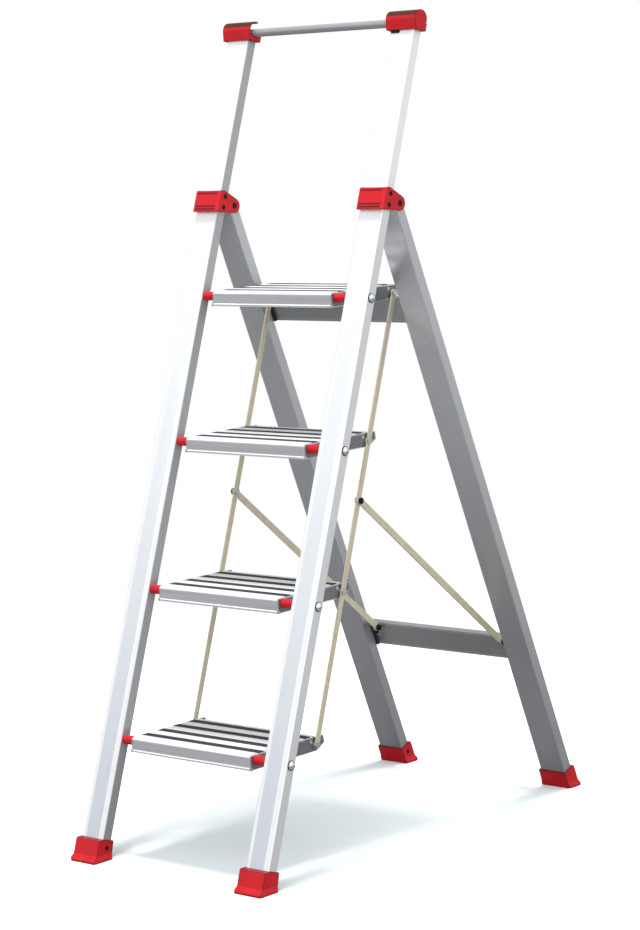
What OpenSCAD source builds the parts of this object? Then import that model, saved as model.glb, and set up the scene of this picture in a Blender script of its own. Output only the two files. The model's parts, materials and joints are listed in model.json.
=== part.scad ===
// Folding step ladder with flat box-section stiles, four linked steps, a hinged rear
// frame and a hand rail held in two open grips.
// X runs across the ladder, Y from front to rear, Z up. The origin is on the floor, in the
// middle of the four feet.

/* [Overall] */
// Width over the two front stiles
outer_w = 450; // [420:1:480]
// Lean of the front stiles from the vertical, in degrees
front_lean = 19.65; // [18.5:0.05:20.5]
// Lean of the rear legs from the vertical, in degrees
rear_lean = 19.3; // [18:0.05:20]
// Height of the lowest step's pivots above the floor
first_pivot_z = 200; // [185:1:215]
// Vertical distance from one step to the next
step_rise = 250; // [240:1:260]
// Height of the hinges above the top step's pivots
hinge_rise = 155.5; // [150:0.5:165]
// Height of the rail grips above the hinges
rail_rise = 313.5; // [280:0.5:340]

/* [Front stiles] */
// Width of a stile, seen from the front
stile_w = 52.5; // [48:0.5:58]
// Depth of a stile
stile_d = 19.5; // [17:0.5:21]
// Wall of a stile
stile_wall = 1.6; // [1.2:0.1:2.4]
// Radius of a stile's long edges
stile_edge_r = 1.5; // [1:0.25:4]
// Distance of the outer grooves from a stile's edges
groove_inset = 10.5; // [8:0.5:13]
// Distance between the two grooves of a pair
groove_pitch = 9; // [6:0.5:12]
// Width of a groove
groove_w = 1.2; // [0.8:0.1:2]
// Depth of a groove
groove_depth = 0.5; // [0.3:0.1:0.8]

/* [Rear frame] */
// Width of a rear leg, seen from the rear
leg_w = 56; // [50:0.5:57]
// Depth of a rear leg
leg_d = 20.5; // [18:0.5:21.5]
// Wall of a rear leg
leg_wall = 1.6; // [1.2:0.1:2.4]
// Radius of a rear leg's long edges
leg_edge_r = 1.5; // [1:0.25:4]
// Distance of the hinges behind the stiles
hinge_back = 15.5; // [15:0.5:19]
// Distance of the upper crossbar's top edge below the hinges
upper_bar_drop = 188; // [184:1:210]
// Distance of the lower crossbar's top edge below the hinges
lower_bar_drop = 869; // [850:1:890]
// Height of a crossbar
bar_h = 49; // [42:0.5:56]
// Depth of a crossbar
bar_d = 12; // [10:0.5:16]
// Wall of a crossbar
bar_wall = 1.5; // [1.2:0.1:2.2]
// Distance of a crossbar's ends inside the legs' outer edges
bar_inset = 21.5; // [18:0.5:24]
// Thickness of the pads between legs and crossbars
pad_t = 5; // [3.5:0.25:7]

/* [Steps] */
// Distance from the pivots to a tread's rear edge
tread_back = 148.2; // [146:0.1:156]
// Distance from the pivots to the front of a tread's lip
tread_front = 12.8; // [11:0.1:14]
// Height of a tread's surface above its pivots
tread_up = 10; // [9.5:0.1:12]
// Thickness of a tread's skin
tread_skin = 3.2; // [2.8:0.1:3.4]
// Thickness of a tread's lips, webs and nose
tread_wall = 2.5; // [2:0.1:2.8]
// Depth of the front lip below the pivots
lip_drop = 16.6; // [14:0.1:18]
// Radius of the rounded nose
nose_r = 6; // [5:0.1:7]
// Number of grip channels in a tread
channel_count = 4; // [3:1:4]
// Width of a grip channel
channel_w = 15; // [12:0.5:18]
// Distance from one grip channel to the next
channel_pitch = 38; // [34:0.5:40]
// Depth of a grip channel
channel_depth = 1.3; // [0.8:0.1:1.8]

/* [Step brackets and links] */
// Thickness of a step bracket
bracket_t = 2.5; // [2:0.1:3.2]
// Length of the bushings between brackets and stiles
bushing_len = 28.4; // [27:0.1:31]
// Radius of a bushing
bushing_r = 7.9; // [6:0.05:8.1]
// Distance of a link pivot behind its step pivot
link_back = 144.8; // [143:0.1:147]
// Distance of a link pivot below its step pivot
link_drop = 5; // [4:0.1:6]
// Width of a link bar
link_w = 9.5; // [8.5:0.1:11]
// Thickness of a link bar
link_t = 3; // [2:0.1:3.5]
// Width of a brace
brace_w = 11.5; // [10:0.1:12.5]
// Thickness of a brace
brace_t = 3; // [2.5:0.1:3.5]
// Place of a brace's upper pivot between the lower and the upper of the two middle steps
brace_share = 0.6; // [0.57:0.005:0.63]
// Distance of a brace's lower pivot below the top edge of the lower crossbar
brace_down = 7; // [5:0.5:10]
// Distance of a brace's lower pivot behind the middle of a rear leg
brace_back = 7.5; // [6.5:0.1:8]
// Radius of the step bolts, link pins and brace pins
pin_r = 4; // [3.5:0.05:4.3]
// Radius of the hinge pins
hinge_pin_r = 4; // [3.5:0.05:5]

/* [Hinge caps] */
// Distance by which a cap stands proud of its stile at the sides
cap_side = 5; // [4:0.1:6]
// Distance by which a cap stands proud of its stile at the front
cap_front = 7; // [4:0.1:9]
// Height of a cap at the front
cap_h = 36; // [32:0.5:42]
// Radius of the ear round a hinge pin
ear_r = 13.2; // [12:0.1:14]

/* [Rail and grips] */
// Radius of the hand rail
rail_r = 7.25; // [6:0.05:8.5]
// Outer radius of a rail grip
grip_r = 15.5; // [14:0.1:18]
// Wall of a rail grip
grip_wall = 2.5; // [2:0.1:3.2]
// Length of a rail grip
grip_len = 68; // [62:0.5:76]
// Distance of a grip's centre in front of the middle of its stile
grip_forward = 4.5; // [0:0.1:6]

/* [Feet] */
// Height of a front foot at the front
front_foot_h = 38; // [34:0.5:46]
// Height of a front foot at the rear
front_foot_rear_h = 31.5; // [28:0.5:34]
// Height of a rear foot at the rear
rear_foot_h = 40; // [36:0.5:46]
// Height of a rear foot at the front
rear_foot_front_h = 30; // [27:0.5:36]
// Wall of a foot
foot_wall = 3; // [2:0.1:3.5]
// Distance by which a front foot stands proud of its stile at the front
front_foot_out = 10.5; // [6:0.1:12]
// Distance by which a rear foot stands proud of its leg at the rear
rear_foot_out = 5; // [3:0.1:7]
// Thickness of a foot's sole
sole_t = 4; // [3:0.1:6]
// Spread of a front foot past its front wall, at the floor
front_flare = 3.5; // [2:0.1:8]
// Spread of a rear foot past its rear wall, at the floor
rear_flare = 3; // [2:0.1:8]
// Spread of all feet past their side walls, at the floor
side_flare = 2; // [1:0.1:4]

/* [Clearances] */
// Gap at each side of two pieces that are fixed together
seat_gap = 0.15; // [0.1:0.01:0.25]
// Radial clearance of a pin that turns in its bore
running_gap = 0.05; // [0.03:0.01:0.08]
// Gap at each side of plates that turn beside each other
side_gap = 0.3; // [0.2:0.05:0.4]
// Gap between a link bar and a brace at their shared pivot
link_gap = 0.5; // [0.4:0.05:0.8]
// Radial clearance of a fixed screw or rivet in its hole
hole_gap = 0.1; // [0.05:0.01:0.2]

/* [Hidden] */
$fn = 48;
step_count = 4;

// Across the ladder, from the stiles' outer faces inwards
stile_out_x = outer_w / 2;
stile_in_x = stile_out_x - stile_w;
stile_mid_x = (stile_in_x + stile_out_x) / 2;
bracket_out_x = stile_in_x - bushing_len - 2 * seat_gap;
bracket_in_x = bracket_out_x - bracket_t;
tread_end_x = bracket_in_x - side_gap;
spacer_t = 3;
link_in_x = bracket_out_x + spacer_t;
link_out_x = link_in_x + link_t;
brace_in_x = link_out_x + link_gap;
brace_out_x = brace_in_x + brace_t;
lug_in_x = brace_out_x + side_gap;
lug_t = 3;
lug_out_x = lug_in_x + lug_t;
cap_in_x = stile_in_x - cap_side;
cap_out_x = stile_out_x + cap_side;
leg_in_x = stile_mid_x - leg_w / 2;
leg_out_x = stile_mid_x + leg_w / 2;

// Least radius of the inner edges of stiles and legs
inner_edge_r = 0.4;

// Side view: y on the plane that lies t behind the stiles' front plane, at height z,
// before the shift that puts the origin in the middle of the feet
function front_plane(z, t) = (t + z * sin(front_lean)) / cos(front_lean);
first_pivot_s = (first_pivot_z + stile_d / 2 * sin(front_lean)) / cos(front_lean);
step_pitch = step_rise / cos(front_lean);
hinge_z = first_pivot_z + (step_count - 1) * step_rise + hinge_rise;
hinge_t = stile_d + hinge_back;
hinge_plain_y = front_plane(hinge_z, hinge_t);
function rear_plane(z, t) = hinge_plain_y + (hinge_z - z) * tan(rear_lean) + t / cos(rear_lean);
front_floor_y = front_plane(0, -front_foot_out - front_flare);
rear_floor_y = rear_plane(0, leg_d / 2 + rear_foot_out + rear_flare);
middle_y = (front_floor_y + rear_floor_y) / 2;
function front_y(z, t) = front_plane(z, t) - middle_y;
function rear_y(z, t) = rear_plane(z, t) - middle_y;

// Step i counts from 1 at the top
function pivot_z(i) = first_pivot_z + (step_count - i) * step_rise;
function pivot_y(i) = front_y(pivot_z(i), stile_d / 2);
function link_y(i) = pivot_y(i) + link_back;
function link_z(i) = pivot_z(i) - link_drop;

// Hinge, rail grip and brace pivots in the side view
brace_drop = lower_bar_drop + brace_down;
hinge_y = front_y(hinge_z, hinge_t);
grip_z = hinge_z + rail_rise;
grip_y = front_y(grip_z, stile_d / 2 - grip_forward);
grip_inner_r = grip_r - grip_wall;
rail_z = grip_z - (grip_inner_r - rail_r) + seat_gap;
brace_top_y = link_y(3) + brace_share * (link_y(2) - link_y(3));
brace_top_z = link_z(3) + brace_share * (link_z(2) - link_z(3));
brace_foot_y = hinge_y + brace_drop * sin(rear_lean) + brace_back * cos(rear_lean);
brace_foot_z = hinge_z - brace_drop * cos(rear_lean) + brace_back * sin(rear_lean);
brace_rise = brace_top_z - brace_foot_z;
brace_run = brace_top_y - brace_foot_y;
brace_len = norm([brace_run, brace_rise]);
brace_angle = atan2(brace_run, brace_rise);

// Crossbars
bar_front_t = leg_d / 2 + pad_t;
bar_rear_t = bar_front_t + bar_d;
bar_edge_r = 3;
bar_end_x = leg_out_x - bar_inset;
bar_bolt_r = 3;
bar_bolt_margin = 3 * bar_bolt_r;
bar_bolt_x = [leg_in_x + bar_bolt_margin, bar_end_x - bar_bolt_margin];

// Tread section
skin_z = tread_up - tread_skin;
lip_bead_r = 2.6;
bead_y = -tread_front + 0.6;
bead_z = -lip_drop + lip_bead_r;
channel_start = (tread_back - nose_r - (channel_count - 1) * channel_pitch) / 2 + 2;
web_drop = 11;
rear_lip_drop = 12;

// Step bracket
bracket_drop = 16;
bracket_nose = tread_front - 0.6;
bracket_up = tread_up - 1.8;
bracket_tail = 20;
bracket_back = link_back + 1.2 * bracket_tail;
rear_rivet = [tread_back - 13.4, 2.5];
rivet_r = 1.5;
rivet_head_r = 2.8;

// Fasteners
head_r = 5.8;
head_t = 2.6;
bolt_dome_r = 7.5;
cap_screw_r = 2.5;
cap_screw_head_r = 4;
sunk_head_t = 1.2;
head_sink = 0.3;
cap_screw_reach = 2;
foot_screw_r = 2;
foot_screw_head_r = 3.6;
foot_screw_reach = 6;

// ---- Helpers -------------------------------------------------------------------------

// Rectangle with round corners, from its two limits along each axis
module rounded_rect(x0, x1, y0, y1, r) {
    translate([x0 + r, y0]) square([x1 - x0 - 2 * r, y1 - y0]);
    translate([x0, y0 + r]) square([x1 - x0, y1 - y0 - 2 * r]);
    for (x = [x0 + r, x1 - r], y = [y0 + r, y1 - r])
        translate([x, y]) circle(r);
}

// An outline drawn in the side view (y to the right, z up), given a thickness along X
module extrude_x(x0, x1) {
    translate([x0, 0, 0]) rotate([90, 0, 90]) linear_extrude(x1 - x0) children();
}

// A round bar along X
module bar_x(y, z, r, x0, x1) {
    translate([x0, y, z]) rotate([0, 90, 0]) cylinder(r = r, h = x1 - x0);
}

// A part drawn for the right side, or its mirror image for the left
module on_side(side) {
    if (side > 0) children();
    else mirror([1, 0, 0]) children();
}

module both_sides() {
    on_side(1) children();
    on_side(-1) children();
}

// Axes of the front stiles: x across, y behind the front plane, z along the stile
module stile_axes() {
    translate([0, -middle_y, 0]) rotate([-front_lean, 0, 0]) children();
}

// Axes of the rear frame: x across, y behind the legs' middle plane, z up along the legs
module leg_axes() {
    translate([0, hinge_y, hinge_z]) rotate([rear_lean, 0, 0]) children();
}

module at_step(i) {
    translate([0, pivot_y(i), pivot_z(i)]) children();
}

// Everything below height z
module floor_block(z) {
    block = 2 * outer_w;
    translate([-block / 2, -block, z - block]) cube([block, 2 * block, block]);
}

// The point where a line from p touches the circle round c, on the side given by turn
function tangent_point(p, c, r, turn) =
    let (d = norm(p - c), a = atan2(p[1] - c[1], p[0] - c[0]) + turn * acos(r / d))
    c + r * [cos(a), sin(a)];

// ---- Front stiles --------------------------------------------------------------------

module stile_outline(grow) {
    rounded_rect(stile_in_x - grow, stile_out_x + grow, -grow, stile_d + grow,
                 max(stile_edge_r + grow, inner_edge_r));
}

module stile_section() {
    difference() {
        stile_outline(0);
        stile_outline(-stile_wall);
        for (x = [stile_in_x + groove_inset, stile_in_x + groove_inset + groove_pitch,
                  stile_out_x - groove_inset])
            translate([x - groove_w / 2, -1]) square([groove_w, 1 + groove_depth]);
    }
}

grip_s = (grip_z + (stile_d / 2 - grip_forward) * sin(front_lean)) / cos(front_lean);
stile_top_s = grip_s - grip_inner_r / 2;

module stile(side) {
    color("whitesmoke") on_side(side) difference() {
        stile_axes() translate([0, 0, -stile_d]) linear_extrude(stile_top_s + stile_d) stile_section();
        floor_block(sole_t);
        bar_x(grip_y, grip_z, grip_r + seat_gap, cap_in_x - 5, cap_out_x + 5);
        for (i = [1 : step_count])
            at_step(i) bar_x(0, 0, pin_r + hole_gap, cap_in_x, cap_out_x);
        for (p = cap_screw_places)
            bar_x(p[0], p[1], cap_screw_r + hole_gap, cap_in_x, cap_out_x);
        bar_x(front_screw_y, foot_screw_z, foot_screw_r + hole_gap, cap_in_x, stile_mid_x);
        grip_screw_place() cylinder(r = rivet_r + hole_gap, h = 3 * stile_wall, center = true);
        if (side > 0)
            grip_plug_place() cylinder(r = cap_screw_r + hole_gap, h = 3 * stile_wall, center = true);
    }
}

module stile_left() { stile(-1); }
module stile_right() { stile(1); }

// ---- Hinge caps ----------------------------------------------------------------------

cap_low_z = hinge_z - 6.3;
cap_high_z = cap_low_z + cap_h;
cap_screw_places = [
    [front_y(hinge_z + 18.3, 8), hinge_z + 18.3],
    [front_y(hinge_z - 0.7, 8.8), hinge_z - 0.7]
];
cap_web = 3.2;
cap_side_gap = 0.5;

module cap_outline() {
    ear = [hinge_y, hinge_z];
    rear_top = [front_y(cap_high_z, 3.5), cap_high_z];
    front_top = [front_y(cap_high_z, -cap_front), cap_high_z];
    front_low = [front_y(cap_low_z, -cap_front), cap_low_z];
    polygon([
        front_low,
        tangent_point(front_low, ear, ear_r, 1),
        tangent_point(rear_top, ear, ear_r, -1),
        rear_top, front_top
    ]);
    translate(ear) circle(ear_r);
}

// A round pocket for a sunk head in each side of a cap
module head_pockets(y, z, r) {
    deep = head_sink + sunk_head_t + seat_gap;
    bar_x(y, z, r, cap_in_x - 1, cap_in_x + deep);
    bar_x(y, z, r, cap_out_x - deep, cap_out_x + 1);
}

// A sunk head in each side of a cap
module sunk_heads(y, z, r) {
    bar_x(y, z, r, cap_in_x + head_sink, cap_in_x + head_sink + sunk_head_t);
    bar_x(y, z, r, cap_out_x - head_sink - sunk_head_t, cap_out_x - head_sink);
}

module hinge_cap(side) {
    color("crimson") on_side(side) difference() {
        intersection() {
            extrude_x(cap_in_x, cap_out_x) cap_outline();
            stile_axes() linear_extrude(2 * hinge_z)
                rounded_rect(cap_in_x, cap_out_x, -cap_front, hinge_t + 2 * ear_r, cap_side);
        }
        stile_axes() linear_extrude(2 * hinge_z) stile_outline(seat_gap);
        stile_axes() translate([leg_in_x - cap_side_gap, stile_d + cap_web, 0])
            cube([leg_w + 2 * cap_side_gap, 4 * ear_r, 2 * hinge_z]);
        bar_x(hinge_y, hinge_z, hinge_pin_r + hole_gap, cap_in_x - 1, cap_out_x + 1);
        head_pockets(hinge_y, hinge_z, hinge_pin_r + 1 + seat_gap);
        for (p = cap_screw_places) {
            bar_x(p[0], p[1], cap_screw_r + hole_gap, cap_in_x - 1, cap_out_x + 1);
            head_pockets(p[0], p[1], cap_screw_head_r + seat_gap);
        }
    }
}

module hinge_cap_left() { hinge_cap(-1); }
module hinge_cap_right() { hinge_cap(1); }

// Two screws on each side of a cap, their heads sunk into it
module cap_screws() {
    color("dimgray") both_sides() for (p = cap_screw_places) {
        sunk_heads(p[0], p[1], cap_screw_head_r);
        bar_x(p[0], p[1], cap_screw_r, cap_in_x + head_sink,
              stile_in_x + stile_wall + cap_screw_reach);
        bar_x(p[0], p[1], cap_screw_r, stile_out_x - stile_wall - cap_screw_reach,
              cap_out_x - head_sink);
    }
}

module hinge_pins() {
    color("dimgray") both_sides() {
        bar_x(hinge_y, hinge_z, hinge_pin_r, cap_in_x + head_sink, cap_out_x - head_sink);
        sunk_heads(hinge_y, hinge_z, hinge_pin_r + 1);
    }
}

// ---- Feet ----------------------------------------------------------------------------

foot_screw_z = 22;
front_screw_y = front_y(foot_screw_z, stile_d / 2);
rear_screw_y = rear_y(foot_screw_z, 0);
flare_h = 12;
lip_h = 3.5;

// A boot: its side outline, cut to an end view that flares out near the floor
module boot(x_in, x_out, h, y0, y1) {
    intersection() {
        extrude_x(x_in - side_flare, x_out + side_flare) children();
        translate([0, y1, 0]) rotate([90, 0, 0]) linear_extrude(y1 - y0) polygon([
            [x_in - side_flare, 0], [x_in - side_flare, lip_h], [x_in, flare_h],
            [x_in, h], [x_out, h],
            [x_out, flare_h], [x_out + side_flare, lip_h], [x_out + side_flare, 0]
        ]);
        translate([0, 0, -1]) linear_extrude(h + 2)
            rounded_rect(x_in - side_flare, x_out + side_flare, y0, y1, 4);
    }
}

module sole_grooves(x_in, x_out, y0, y1) {
    groove = 2;
    deep = 1.2;
    for (share = [0.25, 0.5, 0.75])
        translate([x_in, y0 + share * (y1 - y0) - groove / 2, -1]) cube([x_out - x_in, groove, 1 + deep]);
    for (share = [0.2 : 0.2 : 0.8])
        translate([x_in + share * (x_out - x_in) - groove / 2, y0 - 1, -1])
            cube([groove, y1 - y0 + 20, 1 + deep]);
}

// The hole for a foot's screw, in from the inner side, with a pocket for its sunk head
module foot_screw_hole(y, x_in) {
    wall_x = x_in - foot_wall;
    bar_x(y, foot_screw_z, foot_screw_r + hole_gap, wall_x - 1, stile_mid_x);
    bar_x(y, foot_screw_z, foot_screw_head_r + seat_gap, wall_x - 1,
          wall_x + head_sink + sunk_head_t + seat_gap);
}

module foot_screw(y, x_in) {
    wall_x = x_in - foot_wall;
    bar_x(y, foot_screw_z, foot_screw_head_r, wall_x + head_sink, wall_x + head_sink + sunk_head_t);
    bar_x(y, foot_screw_z, foot_screw_r, wall_x + head_sink, x_in + foot_screw_reach);
}

module front_foot(side) {
    y0 = front_y(0, -front_foot_out - front_flare);
    y1 = front_y(front_foot_rear_h, stile_d + foot_wall);
    color("crimson") on_side(side) difference() {
        boot(stile_in_x - foot_wall, stile_out_x + foot_wall, front_foot_h, y0, y1)
            polygon([
                [y0, 0],
                [y0, lip_h],
                [front_y(flare_h, -front_foot_out), flare_h],
                [front_y(front_foot_h, -front_foot_out), front_foot_h],
                [front_y(front_foot_h, 1), front_foot_h],
                [y1, front_foot_rear_h],
                [front_y(lip_h, stile_d + foot_wall + side_flare), lip_h],
                [front_y(0, stile_d + foot_wall + side_flare), 0]
            ]);
        difference() {
            stile_axes() translate([0, 0, -stile_d]) linear_extrude(4 * front_foot_h)
                stile_outline(seat_gap);
            floor_block(sole_t - seat_gap);
        }
        foot_screw_hole(front_screw_y, stile_in_x);
        sole_grooves(stile_in_x - foot_wall - side_flare, stile_out_x + foot_wall + side_flare, y0,
                     front_y(0, stile_d + foot_wall));
    }
}

module front_foot_left() { front_foot(-1); }
module front_foot_right() { front_foot(1); }

module front_foot_screws() {
    color("dimgray") both_sides() foot_screw(front_screw_y, stile_in_x);
}

module rear_foot(side) {
    y0 = rear_y(rear_foot_front_h, -leg_d / 2 - foot_wall);
    y1 = rear_y(0, leg_d / 2 + rear_foot_out + rear_flare);
    color("crimson") on_side(side) difference() {
        boot(leg_in_x - foot_wall, leg_out_x + foot_wall, rear_foot_h, y0, y1)
            polygon([
                [rear_y(0, -leg_d / 2 - foot_wall), 0],
                [y0, rear_foot_front_h],
                [rear_y(rear_foot_h, leg_d / 2), rear_foot_h],
                [rear_y(rear_foot_h, leg_d / 2 + rear_foot_out), rear_foot_h],
                [rear_y(flare_h, leg_d / 2 + rear_foot_out), flare_h],
                [y1, lip_h],
                [y1, 0]
            ]);
        difference() {
            leg_axes() translate([0, 0, -leg_reach]) linear_extrude(leg_reach)
                leg_outline(seat_gap);
            floor_block(sole_t - seat_gap);
        }
        foot_screw_hole(rear_screw_y, leg_in_x);
        sole_grooves(leg_in_x - foot_wall - side_flare, leg_out_x + foot_wall + side_flare,
                     rear_y(0, -leg_d / 2 - foot_wall), y1);
    }
}

module rear_foot_left() { rear_foot(-1); }
module rear_foot_right() { rear_foot(1); }

module rear_foot_screws() {
    color("dimgray") both_sides() foot_screw(rear_screw_y, leg_in_x);
}

// ---- Hand rail and its grips ---------------------------------------------------------

grip_in_x = stile_mid_x - grip_len / 2;
grip_out_x = stile_mid_x + grip_len / 2;
grip_tab_t = 3;
grip_tab_d = stile_d / 2 + grip_forward + seat_gap + grip_tab_t;
grip_tab_low = 18.5;
grip_tab_high = 4.5;
grip_skirt = 1.5;
grip_screw_s = grip_s - 12.5;
grip_plug_w = 20;
grip_plug_h = 5;
grip_plug_s = grip_s - 23.5;

// A point of a grip's side view, d behind its centre and s along the stile from there
function grip_point(d, s) = [
    d * cos(front_lean) + s * sin(front_lean),
    s * cos(front_lean) - d * sin(front_lean)
];

// The open ring of a grip, from its lower rear end round the front to its upper lip
module grip_ring() {
    upper = 66;
    lower = -34;
    reach = 3 * grip_r;
    difference() {
        circle(grip_r);
        circle(grip_inner_r);
        polygon([[0, 0], reach * [cos(lower), sin(lower)], [reach, 0],
                 reach * [cos(upper), sin(upper)]]);
    }
    translate((grip_r + grip_inner_r) / 2 * [cos(upper), sin(upper)]) circle(grip_wall * 0.8);
}

// The saddle under the ring: it laps over the stile's front, sides and rear
module grip_saddle() {
    difference() {
        polygon([
            [-grip_r, 0],
            [-grip_r, -grip_r - grip_skirt],
            grip_point(grip_tab_d, -grip_tab_low),
            grip_point(grip_tab_d, -grip_tab_high)
        ]);
        circle((grip_r + grip_inner_r) / 2);
    }
}

module rail_grip(side) {
    color("crimson") on_side(side) {
        translate([0, grip_y, grip_z]) extrude_x(grip_in_x, grip_out_x - grip_wall) grip_ring();
        bar_x(grip_y, grip_z, grip_r, grip_out_x - grip_wall, grip_out_x);
        difference() {
            translate([0, grip_y, grip_z]) extrude_x(grip_in_x, grip_out_x) grip_saddle();
            stile_axes() translate([0, 0, grip_s - 3 * grip_r]) linear_extrude(3 * grip_r)
                stile_outline(seat_gap);
            grip_screw_place() cylinder(r = rivet_r + hole_gap, h = 12, center = true);
        }
    }
}

module rail_grip_left() { rail_grip(-1); }
module rail_grip_right() { rail_grip(1); }

module rail_tube() {
    half = grip_out_x - grip_wall - side_gap;
    color("gainsboro") difference() {
        bar_x(grip_y, rail_z, rail_r, -half, half);
        bar_x(grip_y, rail_z, rail_r - 1.5, -half - 1, half + 1);
    }
}

// The screw in each grip's rear, through the stile's rear wall
module grip_screw_place() {
    stile_axes() translate([stile_mid_x, stile_d, grip_screw_s]) rotate([-90, 0, 0]) children();
}

// The plug under the right grip, on the stile's front face
module grip_plug_place() {
    stile_axes() translate([stile_in_x + grip_plug_w / 2 + 1, 0, grip_plug_s]) rotate([90, 0, 0])
        children();
}

module grip_screws() {
    color("dimgray") both_sides() grip_screw_place() {
        translate([0, 0, seat_gap + grip_tab_t + seat_gap]) cylinder(r = rivet_head_r, h = sunk_head_t);
        translate([0, 0, -2 * stile_wall])
            cylinder(r = rivet_r, h = 2 * stile_wall + grip_tab_t + 3 * seat_gap);
    }
    color("dimgray") grip_plug_place() {
        translate([0, 0, seat_gap]) linear_extrude(sunk_head_t)
            rounded_rect(-grip_plug_w / 2, grip_plug_w / 2, -grip_plug_h / 2, grip_plug_h / 2,
                         0.48 * grip_plug_h);
        translate([0, 0, -2 * stile_wall]) cylinder(r = cap_screw_r, h = 2 * stile_wall + 2 * seat_gap);
    }
}

// ---- Step bolts and bushings ---------------------------------------------------------

// One bolt on each side of each step: a head inside the bracket and a domed nut outside
module step_bolts() {
    color("silver") both_sides() for (i = [1 : step_count]) at_step(i) {
        bar_x(0, 0, head_r, bracket_in_x - seat_gap - head_t, bracket_in_x - seat_gap);
        bar_x(0, 0, pin_r, bracket_in_x - seat_gap - head_t, stile_out_x + 2);
        bar_x(0, 0, bolt_dome_r, stile_out_x + seat_gap, stile_out_x + 2);
        translate([stile_out_x + 2, 0, 0]) rotate([0, 90, 0])
            cylinder(r1 = bolt_dome_r, r2 = pin_r, h = 2);
    }
}

module step_bushings() {
    color("crimson") both_sides() for (i = [1 : step_count]) at_step(i) difference() {
        bar_x(0, 0, bushing_r, bracket_out_x + seat_gap, stile_in_x - seat_gap);
        bar_x(0, 0, pin_r + hole_gap, bracket_out_x - 1, stile_in_x + 1);
    }
}

// ---- Rear frame ----------------------------------------------------------------------

module leg_outline(grow) {
    rounded_rect(leg_in_x - grow, leg_out_x + grow, -leg_d / 2 - grow, leg_d / 2 + grow,
                 max(leg_edge_r + grow, inner_edge_r));
}

leg_reach = hinge_z / cos(rear_lean) + leg_d;

// A leg's tube has a solid end round its hinge pin
module rear_leg(side) {
    plug_len = 22;
    color("darkgray") on_side(side) difference() {
        leg_axes() intersection() {
            translate([0, 0, -leg_reach]) linear_extrude(leg_reach + leg_d) leg_outline(0);
            union() {
                bar_x(0, 0, leg_d / 2, leg_in_x - 1, leg_out_x + 1);
                translate([leg_in_x - 1, -leg_d, -leg_reach]) cube([leg_w + 2, 2 * leg_d, leg_reach]);
            }
        }
        leg_axes() translate([0, 0, -leg_reach - 1]) linear_extrude(leg_reach + 1 - plug_len)
            leg_outline(-leg_wall);
        floor_block(sole_t);
        bar_x(hinge_y, hinge_z, hinge_pin_r + running_gap, leg_in_x - 1, leg_out_x + 1);
        bar_x(rear_screw_y, foot_screw_z, foot_screw_r + hole_gap, leg_in_x - foot_wall, stile_mid_x);
        bar_bolt_holes();
    }
}

module rear_leg_left() { rear_leg(-1); }
module rear_leg_right() { rear_leg(1); }

// Places of the bolts that hold a crossbar to one leg, given for the right side
module bar_bolt_places() {
    leg_axes() for (drop = [upper_bar_drop, lower_bar_drop], x = bar_bolt_x)
        translate([x, 0, -drop - bar_h / 2]) rotate([-90, 0, 0]) children();
}

module bar_bolt_holes() {
    bar_bolt_places() cylinder(r = bar_bolt_r + hole_gap, h = bar_rear_t + 1);
}

module crossbar(drop) {
    color("gray") difference() {
        leg_axes() extrude_x(-bar_end_x, bar_end_x) difference() {
            rounded_rect(bar_front_t, bar_rear_t, -drop - bar_h, -drop, bar_edge_r);
            rounded_rect(bar_front_t + bar_wall, bar_rear_t - bar_wall, -drop - bar_h + bar_wall,
                         -drop - bar_wall, bar_edge_r - bar_wall);
            for (z = [-drop - bar_edge_r - 1, -drop - bar_h + bar_edge_r + 1])
                translate([bar_front_t - 1, z - 0.7]) square([1.5, 1.4]);
        }
        both_sides() bar_bolt_holes();
        both_sides() lug_rivet_places() cylinder(r = rivet_r + hole_gap, h = 6, center = true);
    }
}

module upper_crossbar() { crossbar(upper_bar_drop); }
module lower_crossbar() { crossbar(lower_bar_drop); }

// A plug in each end of both crossbars: a flange outside and a tongue inside the tube
module crossbar_plugs() {
    inset = bar_wall + seat_gap;
    color("black") both_sides() leg_axes() for (drop = [upper_bar_drop, lower_bar_drop]) {
        extrude_x(bar_end_x + seat_gap, bar_end_x + 2.5)
            rounded_rect(bar_front_t, bar_rear_t, -drop - bar_h, -drop, bar_edge_r);
        extrude_x(bar_end_x - 5, bar_end_x + 1)
            rounded_rect(bar_front_t + inset, bar_rear_t - inset, -drop - bar_h + inset,
                         -drop - inset, 1);
    }
}

module crossbar_pads() {
    color("black") both_sides() difference() {
        leg_axes() for (drop = [upper_bar_drop, lower_bar_drop])
            translate([leg_in_x - 3.5, leg_d / 2 + seat_gap, -drop - bar_h + 1])
                cube([bar_end_x - leg_in_x + 3.5, pad_t - 2 * seat_gap, bar_h - 2]);
        bar_bolt_holes();
    }
}

module crossbar_bolts() {
    color("silver") both_sides() bar_bolt_places() {
        translate([0, 0, leg_d / 2 - leg_wall - 1.5])
            cylinder(r = bar_bolt_r, h = bar_rear_t - leg_d / 2 + leg_wall + 2);
        translate([0, 0, bar_rear_t + seat_gap]) cylinder(r = 2 * bar_bolt_r, h = 2.4);
    }
}

// ---- Braces' lower ends --------------------------------------------------------------

lug_foot_w = 13;
lug_foot_h = 15;
lug_plate_t = 2;
lug_half = 7;

// A rivet in the foot of each lug, on the lower crossbar's front face
module lug_rivet_places() {
    leg_axes() translate([lug_in_x + lug_foot_w - 4.5, bar_front_t, -brace_drop - lug_half - lug_foot_h / 2])
        rotate([90, 0, 0]) children();
}

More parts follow.
